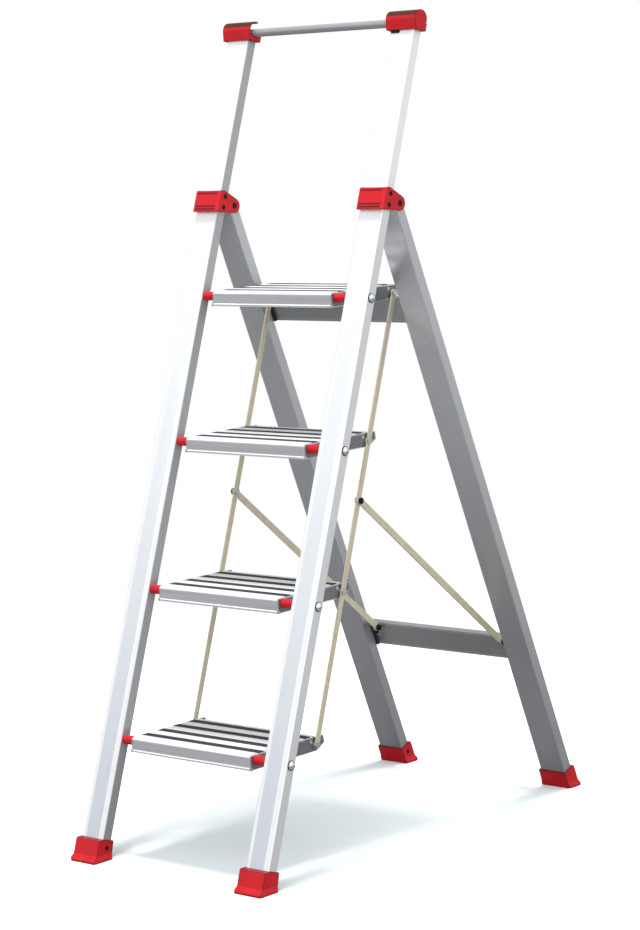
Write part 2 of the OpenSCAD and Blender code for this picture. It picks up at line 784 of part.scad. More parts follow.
module brace_lugs() {
    foot_t = bar_front_t - seat_gap;
    color("silver") both_sides() difference() {
        leg_axes() {
            extrude_x(lug_in_x, lug_out_x) {
                translate([brace_back, -brace_drop - lug_half])
                    square([foot_t - brace_back, 2 * lug_half]);
                intersection() {
                    translate([brace_back, -brace_drop]) circle(lug_half);
                    translate([0, -brace_drop - lug_half]) square([foot_t, 2 * lug_half]);
                }
            }
            translate([lug_in_x, foot_t - lug_plate_t, -brace_drop - lug_half - lug_foot_h])
                cube([lug_t, lug_plate_t, lug_foot_h + 1]);
            translate([lug_in_x, foot_t - lug_plate_t, -brace_drop - lug_half - lug_foot_h])
                cube([lug_foot_w, lug_plate_t, lug_foot_h]);
        }
        bar_x(brace_foot_y, brace_foot_z, pin_r + hole_gap, lug_in_x - 1, lug_out_x + 1);
        lug_rivet_places() cylinder(r = rivet_r + hole_gap, h = 12, center = true);
    }
}

// The pins that the braces turn on, with the rivets of their lugs
module brace_pins() {
    color("dimgray") both_sides() {
        bar_x(brace_foot_y, brace_foot_z, pin_r, brace_in_x - seat_gap - head_t, lug_out_x + 2);
        bar_x(brace_foot_y, brace_foot_z, head_r, brace_in_x - seat_gap - head_t, brace_in_x - seat_gap);
        bar_x(brace_foot_y, brace_foot_z, head_r, lug_out_x + seat_gap, lug_out_x + head_t);
        lug_rivet_places() {
            translate([0, 0, -3]) cylinder(r = rivet_r, h = 3 + lug_plate_t + 1.2);
            translate([0, 0, lug_plate_t + 2 * seat_gap]) cylinder(r = rivet_head_r, h = 1.2);
        }
    }
}

// ---- Steps ---------------------------------------------------------------------------

// Side view of a tread: a grooved skin, a rounded nose, a beaded front lip and a rear lip
module tread_section() {
    difference() {
        translate([-tread_front + nose_r, skin_z])
            square([tread_back + tread_front - nose_r, tread_skin]);
        for (k = [0 : channel_count - 1])
            translate([channel_start + k * channel_pitch - channel_w / 2, tread_up - channel_depth])
                square([channel_w, channel_depth + 1]);
    }
    intersection() {
        difference() {
            translate([-tread_front + nose_r, tread_up - nose_r]) circle(nose_r);
            translate([-tread_front + nose_r, tread_up - nose_r]) circle(nose_r - tread_wall);
        }
        translate([-tread_front, tread_up - nose_r]) square([nose_r, nose_r]);
    }
    translate([-tread_front, bead_z]) square([tread_wall, tread_up - nose_r - bead_z]);
    translate([bead_y, bead_z]) circle(lip_bead_r);
    translate([tread_back - tread_wall, -rear_lip_drop]) square([tread_wall, rear_lip_drop + skin_z + 1]);
    for (k = [0 : channel_count - 2])
        translate([channel_start + (k + 0.5) * channel_pitch - 0.8, 0]) square([1.6, skin_z + 0.5]);
}

module tread_web() {
    translate([-tread_front + tread_wall / 2, -web_drop])
        square([tread_back + tread_front - tread_wall, web_drop + skin_z + 0.5]);
    translate([bead_y, bead_z]) square([3.5, -bead_z]);
}

module tread(i) {
    color("whitesmoke") at_step(i) difference() {
        union() {
            extrude_x(-tread_end_x, tread_end_x) tread_section();
            both_sides() extrude_x(tread_end_x - tread_wall, tread_end_x) tread_web();
        }
        both_sides() bar_x(0, 0, head_r + 0.6, tread_end_x - tread_wall - 1, tread_end_x + 1);
        both_sides() for (p = [[bead_y, bead_z], rear_rivet])
            bar_x(p[0], p[1], rivet_r + hole_gap, tread_end_x - 6, tread_end_x + 1);
    }
}

module tread_1() { tread(1); }
module tread_2() { tread(2); }
module tread_3() { tread(3); }
module tread_4() { tread(4); }

// Side view of a bracket: a rounded nose round the pivot and a long tapered tail
module bracket_outline() {
    corner = 4;
    rounded_rect(-bracket_nose, 3 * corner, -bracket_drop, bracket_up, corner);
    polygon([
        [0, -bracket_drop], [bracket_back - bracket_tail, -bracket_drop], [bracket_back, -link_drop],
        [bracket_back - 1, bracket_up - 1], [bracket_back - 2, bracket_up], [0, bracket_up]
    ]);
}

module bracket(i, side) {
    color("dimgray") at_step(i) on_side(side) difference() {
        extrude_x(bracket_in_x, bracket_out_x) bracket_outline();
        bar_x(0, 0, pin_r + running_gap, bracket_in_x - 1, bracket_out_x + 1);
        bar_x(link_back, -link_drop, pin_r + hole_gap, bracket_in_x - 1, bracket_out_x + 1);
        for (p = [[bead_y, bead_z], rear_rivet])
            bar_x(p[0], p[1], rivet_r + hole_gap, bracket_in_x - 1, bracket_out_x + 1);
    }
}

module bracket_left_1() { bracket(1, -1); }
module bracket_right_1() { bracket(1, 1); }
module bracket_left_2() { bracket(2, -1); }
module bracket_right_2() { bracket(2, 1); }
module bracket_left_3() { bracket(3, -1); }
module bracket_right_3() { bracket(3, 1); }
module bracket_left_4() { bracket(4, -1); }
module bracket_right_4() { bracket(4, 1); }

module step_rivets(i) {
    color("silver") at_step(i) both_sides() for (p = [[bead_y, bead_z], rear_rivet]) {
        bar_x(p[0], p[1], rivet_r, tread_end_x - 4, bracket_out_x + 1.2);
        bar_x(p[0], p[1], rivet_head_r, bracket_out_x + seat_gap, bracket_out_x + 1.2);
    }
}

module rivets_1() { step_rivets(1); }
module rivets_2() { step_rivets(2); }
module rivets_3() { step_rivets(3); }
module rivets_4() { step_rivets(4); }

// A pin is riveted flush into its bracket, with a spacer collar inside and a head outside
// the link bar
module link_pins(i) {
    color("silver") at_step(i) both_sides() {
        bar_x(link_back, -link_drop, pin_r, bracket_in_x, link_out_x + head_t);
        bar_x(link_back, -link_drop, head_r, bracket_out_x + seat_gap, link_in_x - running_gap);
        bar_x(link_back, -link_drop, head_r, link_out_x + running_gap, link_out_x + head_t);
    }
}

module link_pins_1() { link_pins(1); }
module link_pins_2() { link_pins(2); }
module link_pins_3() { link_pins(3); }
module link_pins_4() { link_pins(4); }

// ---- Link bars and braces ------------------------------------------------------------

// Side view of a flat bar with round ends, from one pivot up to the other
module flat_bar_outline(len, w) {
    translate([-w / 2, 0]) square([w, len]);
    circle(w / 2);
    translate([0, len]) circle(w / 2);
}

module link_bar(side) {
    color("tan") on_side(side) difference() {
        translate([0, link_y(4), link_z(4)]) rotate([-front_lean, 0, 0])
            extrude_x(link_in_x, link_out_x) flat_bar_outline((step_count - 1) * step_pitch, link_w);
        for (i = [1 : step_count])
            bar_x(link_y(i), link_z(i), pin_r + running_gap, link_in_x - 1, link_out_x + 1);
        bar_x(brace_top_y, brace_top_z, pin_r - 0.5 + hole_gap, link_in_x - 1, link_out_x + 1);
    }
}

module link_bar_left() { link_bar(-1); }
module link_bar_right() { link_bar(1); }

// The nut on the inner face of a link bar, where the brace is pinned to it
module link_nut(side) {
    color("silver") on_side(side) {
        bar_x(brace_top_y, brace_top_z, pin_r - 0.5, link_in_x - 2, link_out_x);
        bar_x(brace_top_y, brace_top_z, head_r, link_in_x - 2.4, link_in_x - seat_gap);
    }
}

module link_nut_left() { link_nut(-1); }
module link_nut_right() { link_nut(1); }

module brace(side) {
    color("tan") on_side(side) difference() {
        translate([0, brace_foot_y, brace_foot_z]) rotate([-brace_angle, 0, 0])
            extrude_x(brace_in_x, brace_out_x) flat_bar_outline(brace_len, brace_w);
        bar_x(brace_foot_y, brace_foot_z, pin_r + running_gap, brace_in_x - 1, brace_out_x + 1);
        bar_x(brace_top_y, brace_top_z, pin_r + hole_gap, brace_in_x - 1, brace_out_x + 1);
    }
}

module brace_left() { brace(-1); }
module brace_right() { brace(1); }

module brace_bolt(side) {
    color("dimgray") on_side(side) {
        bar_x(brace_top_y, brace_top_z, pin_r, brace_in_x, brace_out_x + 1);
        bar_x(brace_top_y, brace_top_z, head_r, brace_out_x + seat_gap, brace_out_x + head_t);
    }
}

module brace_bolt_left() { brace_bolt(-1); }
module brace_bolt_right() { brace_bolt(1); }

// ---- Assembly ------------------------------------------------------------------------

stile_left();
stile_right();
hinge_cap_left();
hinge_cap_right();
cap_screws();
hinge_pins();
front_foot_left();
front_foot_right();
front_foot_screws();
rail_tube();
rail_grip_left();
rail_grip_right();
grip_screws();
step_bolts();
step_bushings();
rear_leg_left();
rear_leg_right();
upper_crossbar();
lower_crossbar();
crossbar_plugs();
crossbar_pads();
crossbar_bolts();
rear_foot_left();
rear_foot_right();
rear_foot_screws();
brace_lugs();
brace_pins();
tread_1();
bracket_left_1();
bracket_right_1();
rivets_1();
link_pins_1();
tread_2();
bracket_left_2();
bracket_right_2();
rivets_2();
link_pins_2();
tread_3();
bracket_left_3();
bracket_right_3();
rivets_3();
link_pins_3();
tread_4();
bracket_left_4();
bracket_right_4();
rivets_4();
link_pins_4();
link_bar_left();
link_bar_right();
link_nut_left();
link_nut_right();
brace_left();
brace_right();
brace_bolt_left();
brace_bolt_right();
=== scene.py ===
import json
import math

import bmesh
import bpy
from mathutils import Matrix, Vector


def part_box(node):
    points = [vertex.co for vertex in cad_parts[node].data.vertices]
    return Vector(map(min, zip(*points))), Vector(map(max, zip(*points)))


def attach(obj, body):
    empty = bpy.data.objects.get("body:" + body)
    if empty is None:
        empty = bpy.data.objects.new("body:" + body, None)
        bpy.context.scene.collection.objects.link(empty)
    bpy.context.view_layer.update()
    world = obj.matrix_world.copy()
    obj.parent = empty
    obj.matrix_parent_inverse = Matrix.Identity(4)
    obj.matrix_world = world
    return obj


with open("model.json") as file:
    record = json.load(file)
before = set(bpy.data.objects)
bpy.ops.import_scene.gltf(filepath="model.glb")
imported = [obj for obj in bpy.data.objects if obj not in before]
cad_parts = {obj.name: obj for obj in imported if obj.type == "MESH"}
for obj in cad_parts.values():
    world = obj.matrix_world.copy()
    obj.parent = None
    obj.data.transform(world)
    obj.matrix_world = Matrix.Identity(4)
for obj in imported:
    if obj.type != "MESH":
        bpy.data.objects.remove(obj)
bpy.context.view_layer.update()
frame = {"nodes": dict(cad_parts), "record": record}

NODES = frame["nodes"]

# ---- Camera: a long lens, turned slightly about its own axis, that looks from the right ----

CAMERA_PLACE = Vector((3.62201, -3.8315, 1.36406))
CAMERA_AZIMUTH = math.radians(43.0)
CAMERA_ELEVATION = math.radians(4.43)
CAMERA_ROLL = math.radians(-3.54)
CAMERA_LENS = 115.94
CAMERA_SENSOR = 36
CAMERA_SHIFT = -0.1893
CAMERA_REACH = 100


def make_camera():
    """The photograph's view: right and up are square to the line of sight, then rolled."""
    ahead = Vector((-math.sin(CAMERA_AZIMUTH) * math.cos(CAMERA_ELEVATION),
                    math.cos(CAMERA_AZIMUTH) * math.cos(CAMERA_ELEVATION),
                    -math.sin(CAMERA_ELEVATION)))
    right = ahead.cross(Vector((0, 0, 1))).normalized()
    up = right.cross(ahead)
    rolled_right = math.cos(CAMERA_ROLL) * right + math.sin(CAMERA_ROLL) * up
    rolled_up = math.cos(CAMERA_ROLL) * up - math.sin(CAMERA_ROLL) * right
    data = bpy.data.cameras.new("camera")
    data.lens = CAMERA_LENS
    data.sensor_width = CAMERA_SENSOR
    data.shift_y = CAMERA_SHIFT
    data.clip_end = CAMERA_REACH
    camera = bpy.data.objects.new("camera", data)
    bpy.context.scene.collection.objects.link(camera)
    turn = Matrix((rolled_right, rolled_up, -ahead)).transposed()
    camera.matrix_world = Matrix.Translation(CAMERA_PLACE) @ turn.to_4x4()
    bpy.context.scene.camera = camera


make_camera()

# ---- Node helpers ------------------------------------------------------------------------


def remap(tree, value, limits, **settings):
    """Takes a value from the first two limits to the last two, and no further."""
    made = tree.nodes.new("ShaderNodeMapRange")
    for key, setting in settings.items():
        setattr(made, key, setting)
    for socket, limit in zip(("From Min", "From Max", "To Min", "To Max"), limits):
        made.inputs[socket].default_value = limit
    tree.links.new(value, made.inputs["Value"])
    return made.outputs["Result"]


def shade(colour, factor):
    return tuple(channel * factor for channel in colour)


class Shader:
    """A principled material with helpers for its node tree."""

    def __init__(self, name, metallic=0.0, roughness=0.5, specular=0.5):
        self.material = bpy.data.materials.new(name)
        self.material.use_nodes = True
        self.tree = self.material.node_tree
        self.bsdf = self.tree.nodes["Principled BSDF"]
        self.bsdf.inputs["Metallic"].default_value = metallic
        self.bsdf.inputs["Roughness"].default_value = roughness
        self.bsdf.inputs["Specular IOR Level"].default_value = specular
        self.place = self.node("ShaderNodeTexCoord").outputs["Object"]

    def node(self, kind, **values):
        made = self.tree.nodes.new(kind)
        for key, value in values.items():
            setattr(made, key, value)
        return made

    def link(self, source, target):
        self.tree.links.new(source, target)

    def scaled(self, scale):
        mapping = self.node("ShaderNodeMapping")
        mapping.inputs["Scale"].default_value = scale
        self.link(self.place, mapping.inputs["Vector"])
        return mapping.outputs["Vector"]

    def axes(self, vector):
        made = self.node("ShaderNodeSeparateXYZ")
        self.link(vector, made.inputs[0])
        return made.outputs

    def noise(self, scale, detail):
        """Noise in object space; scale is one number or three, in cycles per metre."""
        made = self.node("ShaderNodeTexNoise")
        made.inputs["Scale"].default_value = 1.0
        made.inputs["Detail"].default_value = detail
        stretch = scale if isinstance(scale, tuple) else (scale, scale, scale)
        self.link(self.scaled(stretch), made.inputs["Vector"])
        return made.outputs["Fac"]

    def ramp(self, factor, stops):
        """Maps a factor through stops of (position, grey level or colour)."""
        made = self.node("ShaderNodeValToRGB")
        band = made.color_ramp
        while len(band.elements) < len(stops):
            band.elements.new(0.5)
        for element, (position, colour) in zip(band.elements, stops):
            element.position = position
            element.color = (*colour, 1.0) if isinstance(colour, tuple) else (colour,) * 3 + (1.0,)
        self.link(factor, made.inputs["Fac"])
        return made.outputs["Color"]

    def maths(self, operation, first, second=None):
        made = self.node("ShaderNodeMath", operation=operation)
        for socket, value in zip(made.inputs, (first, second)):
            if value is None:
                continue
            if isinstance(value, (int, float)):
                socket.default_value = value
            else:
                self.link(value, socket)
        return made.outputs[0]

    def mix(self, factor, first, second):
        """Goes from the first colour to the second as the factor goes from 0 to 1."""
        made = self.node("ShaderNodeMix", data_type="RGBA")
        for place, value in ((0, factor), (6, first), (7, second)):
            if isinstance(value, tuple):
                made.inputs[place].default_value = (*value, 1.0)
            else:
                self.link(value, made.inputs[place])
        return made.outputs[2]

    def colour(self, source):
        self.link(source, self.bsdf.inputs["Base Color"])

    def rough(self, source):
        self.link(source, self.bsdf.inputs["Roughness"])

    def bump(self, height, strength, distance):
        made = self.node("ShaderNodeBump")
        made.inputs["Strength"].default_value = strength
        made.inputs["Distance"].default_value = distance
        self.link(height, made.inputs["Height"])
        self.link(made.outputs["Normal"], self.bsdf.inputs["Normal"])


def by_normal(shader, axis, limits):
    """Goes from 0 at the first limit to 1 at the second, by the surface's own normal on an axis."""
    normal = shader.node("ShaderNodeTexCoord").outputs["Normal"]
    return remap(shader.tree, shader.axes(normal)[axis], (*limits, 0.0, 1.0))


def by_height(shader, limits):
    """Goes from 1 at the first height to 0 at the second."""
    return remap(shader.tree, shader.axes(shader.place)["Z"], (*limits, 1.0, 0.0))


# ---- Kinds of material -------------------------------------------------------------------

# Noise stretched along an upright or a crosswise profile, in cycles per metre, and the lines'
# share against the clouds
LINES_UP = (240.0, 240.0, 3.0)
LINES_ACROSS = (3.0, 240.0, 240.0)
LINE_SHARE = 0.6

# How far a tint reaches in from an edge
METAL_EDGE = 0.0016
PLASTIC_EDGE = 0.002
EDGE_SAMPLES = 6


def add_edges(shader, source, tint, reach):
    """Mixes tint into a colour along convex edges. On the red plastic the dark tint is painted
    shade along the edges; on the metals it is a lighter or darker edge tone.
    """
    near = shader.node("ShaderNodeAmbientOcclusion", inside=True, only_local=True,
                       samples=EDGE_SAMPLES)
    near.inputs["Distance"].default_value = reach
    edge = shader.ramp(near.outputs["AO"], [(0.55, 1.0), (0.95, 0.0)])
    return shader.mix(edge, source, tint)


def extruded_metal(name, colour, roughness=0.3, metallic=0.6, streak=LINES_UP, grain=0.93,
                   edge=None, painted_shade=None):
    """Anodised profile: faint die lines along its length, slight cloudiness, tinted edges.

    grain is the share of the colour left in the darkest lines. The last argument is a function of
    the shader and its colour that returns the colour with painted shade in one part of the piece.
    """
    shader = Shader(name, metallic=metallic, roughness=roughness)
    lines = shader.noise(streak, detail=3.0)
    clouds = shader.noise(9.0, detail=2.0)
    blended = shader.maths("ADD", shader.maths("MULTIPLY", lines, LINE_SHARE),
                           shader.maths("MULTIPLY", clouds, 1 - LINE_SHARE))
    source = shader.ramp(blended, [(0.3, shade(colour, grain)), (0.7, colour)])
    if painted_shade:
        source = painted_shade(shader, source)
    if edge:
        source = add_edges(shader, source, edge, METAL_EDGE)
    shader.colour(source)
    shader.rough(shader.ramp(clouds, [(0.3, roughness - 0.05), (0.7, roughness + 0.06)]))
    return shader.material


def moulded_plastic(name, colour, roughness=0.36, edge=None, painted_shade=None):
    """Injection moulded plastic: fine spark grain, faint flow marks and a soft sheen."""
    shader = Shader(name, roughness=roughness, specular=0.22)
    grain = shader.noise(2600.0, detail=2.0)
    flow = shader.noise(35.0, detail=3.0)
    source = shader.ramp(flow, [(0.3, shade(colour, 0.86)), (0.7, colour)])
    if painted_shade:
        source = painted_shade(shader, source)
    if edge:
        source = add_edges(shader, source, edge, PLASTIC_EDGE)
    shader.colour(source)
    shader.rough(shader.ramp(flow, [(0.3, roughness - 0.06), (0.7, roughness + 0.08)]))
    shader.bump(grain, 0.12, 0.0002)
    return shader.material


def plated_steel(name, colour, roughness=0.3, metallic=1.0, edge=None):
    """Zinc plate or bright steel: small spangles and rolling marks."""
    shader = Shader(name, metallic=metallic, roughness=roughness)
    spangle = shader.noise(420.0, detail=3.0)
    clouds = shader.noise(60.0, detail=2.0)
    source = shader.ramp(shader.maths("MULTIPLY", shader.maths("ADD", spangle, clouds), 0.5),
                         [(0.35, shade(colour, 0.82)), (0.65, colour)])
    if edge:
        source = add_edges(shader, source, edge, METAL_EDGE)
    shader.colour(source)
    shader.rough(shader.ramp(clouds, [(0.3, roughness - 0.06), (0.7, roughness + 0.1)]))
    shader.bump(spangle, 0.1, 0.0002)
    return shader.material


def dark_paint(name, colour, roughness=0.42):
    """Powder coat: a fine orange-peel skin."""
    shader = Shader(name, roughness=roughness, specular=0.15)
    peel = shader.noise(900.0, detail=2.0)
    clouds = shader.noise(20.0, detail=2.0)
    shader.colour(shader.ramp(clouds, [(0.3, shade(colour, 0.88)), (0.7, colour)]))
    shader.rough(shader.ramp(peel, [(0.3, roughness - 0.05), (0.7, roughness + 0.08)]))
    shader.bump(peel, 0.15, 0.0003)
    return shader.material


# ---- Painted shade: darker tones that a material takes in one part of a piece ------------
# A FADE is a pair of heights and a FACING a pair of values of the normal, between which a painted
# shade sets in or dies away.

# Painted shade: the stiles' front faces grey towards the floor in a middle strip between two bright
# bands
STILE_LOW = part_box("stile_left")[0]
STILE_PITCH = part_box("stile_right")[0][0] - STILE_LOW[0]
STILE_BANDS = (0.009, 0.040)
STILE_FADE = (0.10, 0.95)
STILE_MIDDLE_SHADE = (0.66, 0.69, 0.74)

# Painted shade on their inner sides, and on their outer sides below the hinge caps
STILE_INNER_X = 0.1735
STILE_INNER_SHADE = (0.42, 0.42, 0.43)
STILE_OUTER_X = 0.2242
STILE_OUTER_FADE = (1.06, 1.16)
STILE_OUTER_SHADE = (0.74, 0.745, 0.76)

# Painted shade on the rear legs low down, and on the treads' forward-facing front lips
LEG_FADE = (0.10, 0.85)
LEG_LOW_SHADE = (0.40, 0.404, 0.42)
LIP_FACING = (-0.90, -0.97)
TREAD_LIP_SHADE = (0.53, 0.535, 0.55)

# Painted shade on the upper sides of the rail grips and of the feet
GRIP_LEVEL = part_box("rail_grip_left")[0][2]
GRIP_FADE = (GRIP_LEVEL, GRIP_LEVEL - 0.02)
GRIP_FACING = (0.25, 0.60)
GRIP_TOP_SHADE = (0.05, 0.012, 0.008)
FOOT_FADE = (0.06, 0.08)
FOOT_FACING = (0.75, 0.90)
FOOT_TOP_SHADE = (0.22, 0.010, 0.013)


def stile_painted_shade(shader, source):
    """Painted shade: greys the middle strip of both stiles' fronts towards the floor, and darkens
    their inner and outer sides.
    """
    across = shader.axes(shader.place)["X"]
    from_edge = shader.maths("FLOORED_MODULO", shader.maths("SUBTRACT", across, STILE_LOW[0]),
                             STILE_PITCH)
    middle = shader.maths("MULTIPLY", shader.maths("GREATER_THAN", from_edge, STILE_BANDS[0]),
                          shader.maths("LESS_THAN", from_edge, STILE_BANDS[1]))
    shaded_middle = shader.mix(shader.maths("MULTIPLY", middle, by_height(shader, STILE_FADE)),
                       source, STILE_MIDDLE_SHADE)
    from_middle = shader.maths("ABSOLUTE", across)
    inner = shader.maths("LESS_THAN", from_middle, STILE_INNER_X)
    outer = shader.maths("MULTIPLY", shader.maths("GREATER_THAN", from_middle, STILE_OUTER_X),
                         by_height(shader, STILE_OUTER_FADE))
    return shader.mix(outer, shader.mix(inner, shaded_middle, STILE_INNER_SHADE), STILE_OUTER_SHADE)


def leg_painted_shade(shader, source):
    """Painted shade: darkens the rear legs towards the floor."""
    return shader.mix(by_height(shader, LEG_FADE), source, LEG_LOW_SHADE)


def tread_lip_painted_shade(shader, source):
    """Painted shade: a darker grey on the forward-facing front lip under the bright nose, with
    brushed lines in it.
    """
    lines = shader.ramp(shader.noise(LINES_ACROSS, detail=4.0),
                        [(0.35, shade(TREAD_LIP_SHADE, 0.86)), (0.65, TREAD_LIP_SHADE)])
    return shader.mix(by_normal(shader, "Y", LIP_FACING), source, lines)


def red_painted_shade(shader, source):
    """Painted shade: darkens the rail grips' upper sides, and the feet's upper edges a little."""
    grip = shader.maths("MULTIPLY", by_normal(shader, "Z", GRIP_FACING),
                        by_height(shader, GRIP_FADE))
    foot = shader.maths("MULTIPLY", by_normal(shader, "Z", FOOT_FACING),
                        by_height(shader, FOOT_FADE))
    return shader.mix(foot, shader.mix(grip, source, GRIP_TOP_SHADE), FOOT_TOP_SHADE)


# ---- Materials, by the record's slots ----------------------------------------------------

MATERIALS = {
    # Painted shade on the stiles: greyer towards the floor in the middle of the fronts, and darker
    # inner and lower outer sides.
    "stile_aluminium": extruded_metal("stile_aluminium", (0.96, 0.965, 0.97), metallic=0.4,
                                      painted_shade=stile_painted_shade),
    "rail_aluminium": extruded_metal("rail_aluminium", (0.40, 0.41, 0.425), metallic=0.5,
                                     streak=LINES_ACROSS),
    # Painted shade on the rear legs: darker towards the floor.
    "leg_aluminium": extruded_metal("leg_aluminium", (0.57, 0.575, 0.595),
                                    edge=(0.25, 0.252, 0.26), painted_shade=leg_painted_shade),
    "bar_aluminium": extruded_metal("bar_aluminium", (0.35, 0.352, 0.357), streak=LINES_ACROSS,
                                    grain=0.80, edge=(0.5, 0.5, 0.52)),
    # Painted shade on the treads: a darker grey on their forward-facing lips.
    "tread_aluminium": extruded_metal("tread_aluminium", (0.97, 0.975, 0.98), metallic=0.25,
                                      streak=LINES_ACROSS, painted_shade=tread_lip_painted_shade),
    # Painted shade on the red parts: a dark tint along their edges, and darker grip tops and foot
    # tops.
    "red_plastic": moulded_plastic("red_plastic", (0.60, 0.013, 0.021),
                                   edge=(0.10, 0.012, 0.012), painted_shade=red_painted_shade),
    "black_plastic": moulded_plastic("black_plastic", (0.03, 0.03, 0.033), roughness=0.5),
    "black_steel": dark_paint("black_steel", (0.012, 0.012, 0.013)),
    "bracket_steel": plated_steel("bracket_steel", (0.24, 0.25, 0.26), roughness=0.4,
                                  metallic=0.6, edge=(0.62, 0.63, 0.63)),
    "zinc_steel": plated_steel("zinc_steel", (0.74, 0.67, 0.49), roughness=0.45, metallic=0.3),
    "bright_steel": plated_steel("bright_steel", (0.72, 0.73, 0.74), roughness=0.28),
    "chromed_steel": plated_steel("chromed_steel", (0.78, 0.79, 0.80), roughness=0.14),
}

for row in frame["record"]["subparts"]:
    node_data = NODES[row["node"]].data
    node_data.materials.clear()
    node_data.materials.append(MATERIALS[row["material_slot"]])

# ---- Detail pieces -----------------------------------------------------------------------

JOINTS = {joint["name"]: Vector(joint["pos_m"]) for joint in frame["record"]["behaviour"]["joints"]}
STEPS = {number: JOINTS[f"step_{number}_tilt"] for number in range(1, 5)}
SIDES = (("left", -1), ("right", 1))
STILE_LEAN = math.radians(19.65)
STILE_OUT_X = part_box("stile_right")[1][0]
SHARP_ANGLE = math.radians(32)
TURN_SEGMENTS = 40


def add_prism(work, outline, axis, low, high):
    """Adds the solid that an outline sweeps along X (axis 0) or Y (axis 1)."""
    rings = []
    for value in (low, high):
        places = [(value, u, v) if axis == 0 else (u, value, v) for u, v in outline]
        rings.append([work.verts.new(place) for place in places])
    work.faces.new(rings[0])
    work.faces.new(rings[1][::-1])
    for first in range(len(outline)):
        second = (first + 1) % len(outline)
        work.faces.new((rings[0][first], rings[1][first], rings[1][second], rings[0][second]))


def add_turned(work, centre, profile, side, closed=False):
    """Turns a profile of (radius, distance outwards) about the X line through centre.

    closed joins its last point to its first.
    """
    rings = []
    for radius, out in profile:
        count = TURN_SEGMENTS if radius else 1
        turns = [2 * math.pi * number / TURN_SEGMENTS for number in range(count)]
        rings.append([work.verts.new((centre[0] + side * out, centre[1] + radius * math.cos(turn),
                                      centre[2] + radius * math.sin(turn))) for turn in turns])
    for near, far in zip(rings, rings[1:] + rings[:1] if closed else rings[1:]):
        for first in range(TURN_SEGMENTS):
            second = (first + 1) % TURN_SEGMENTS
            corners = (near[first % len(near)], near[second % len(near)],
                       far[second % len(far)], far[first % len(far)])
            work.faces.new(list(dict.fromkeys(corners)))


def finish_piece(name, work, body, slot):
    """Makes the mesh a piece that rides on a body and has the finish of a slot."""
    data = bpy.data.meshes.new(name)
    bmesh.ops.recalc_face_normals(work, faces=work.faces)
    work.to_mesh(data)
    work.free()
    data.shade_smooth()
    data.set_sharp_from_angle(angle=SHARP_ANGLE)
    data.materials.append(MATERIALS[slot])
    piece = bpy.data.objects.new(name, data)
    bpy.context.scene.collection.objects.link(piece)
    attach(piece, body)


# A tread's grip channels, counted backwards from its pivot, and its upper face above the pivot
CHANNEL_FIRST = 0.0161
CHANNEL_PITCH = 0.038
CHANNEL_HALF = 0.0073
CHANNEL_COUNT = 4
TREAD_UP = 0.010

# A strip's teeth: bottom, valley and crest below the upper face, and slopes as shares of the pitch
STRIP_END_GAP = 0.0004
TOOTH_PITCH = 0.004
TOOTH_LEVELS = (0.00125, 0.0002, -0.0002)
TOOTH_RISE = (0.0, 0.2)
TOOTH_FALL = (0.62, 0.82)

# A strip's thin flange, which lies on the upper face
FLANGE_HALF = 0.0085
FLANGE_LEVELS = (0.00003, 0.00012)


def make_channel_shade_and_dirt(number):
    """Serrated dark strips in a tread's grip channels, whose dark colour is partly dirt and partly
    painted shade in the channels.
    """
    pivot = STEPS[number]
    top = pivot[2] + TREAD_UP
    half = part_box(f"tread_{number}")[1][0] - STRIP_END_GAP
    bottom, valley, crest = (top - level for level in TOOTH_LEVELS)
    tooth = ((TOOTH_RISE[0], valley), (TOOTH_RISE[1], crest),
             (TOOTH_FALL[0], crest), (TOOTH_FALL[1], valley))
    outline = [(half, bottom), (-half, bottom)]
    count = int(2 * half / TOOTH_PITCH)
    for place in range(count):
        start = -half + place * 2 * half / count
        outline.extend((start + share * TOOTH_PITCH, level) for share, level in tooth)
    outline.append((half, valley))
    low, high = (top + level for level in FLANGE_LEVELS)
    flange = [(-half, low), (half, low), (half, high), (-half, high)]
    work = bmesh.new()
    for channel in range(CHANNEL_COUNT):
        middle = pivot[1] + CHANNEL_FIRST + channel * CHANNEL_PITCH
        add_prism(work, outline, 1, middle - CHANNEL_HALF, middle + CHANNEL_HALF)
        add_prism(work, flange, 1, middle - FLANGE_HALF, middle + FLANGE_HALF)
    finish_piece(f"tread_channel_shade_and_dirt_{number}", work, f"step_{number}", "black_plastic")


# A step bolt's end: radii, and places outwards from the stile's side
NUT_RADIUS = 0.0062
NUT_SEAT = 0.0021
NUT_HEIGHT = 0.0046
DOME_SUNK = 0.0012
DOME_ANGLES = (0, 12, 26, 40, 54, 68, 80)
RING_PROFILE = ((0.0075, 0.0001), (0.0086, 0.0001), (0.0087, 0.0003),
                (0.0085, 0.0005), (0.0075, 0.0005))


def make_bolt_ends():
    """A domed cap on each step bolt's nut, and the dark seal ring round it."""
    domes = bmesh.new()
    rings = bmesh.new()
    turns = [math.radians(angle) for angle in DOME_ANGLES]
    dome = [(NUT_RADIUS * math.cos(turn), NUT_SEAT + NUT_HEIGHT * math.sin(turn)) for turn in turns]
    dome = [(NUT_RADIUS, NUT_SEAT - DOME_SUNK)] + dome + [(0, NUT_SEAT + NUT_HEIGHT)]
    for pivot in STEPS.values():
        for _, side in SIDES:
            centre = (side * STILE_OUT_X, pivot[1], pivot[2])
            add_turned(domes, centre, dome, side)
            add_turned(rings, centre, RING_PROFILE, side, closed=True)
    finish_piece("bolt_domes", domes, "front_frame", "chromed_steel")
    finish_piece("bolt_rings", rings, "front_frame", "black_plastic")


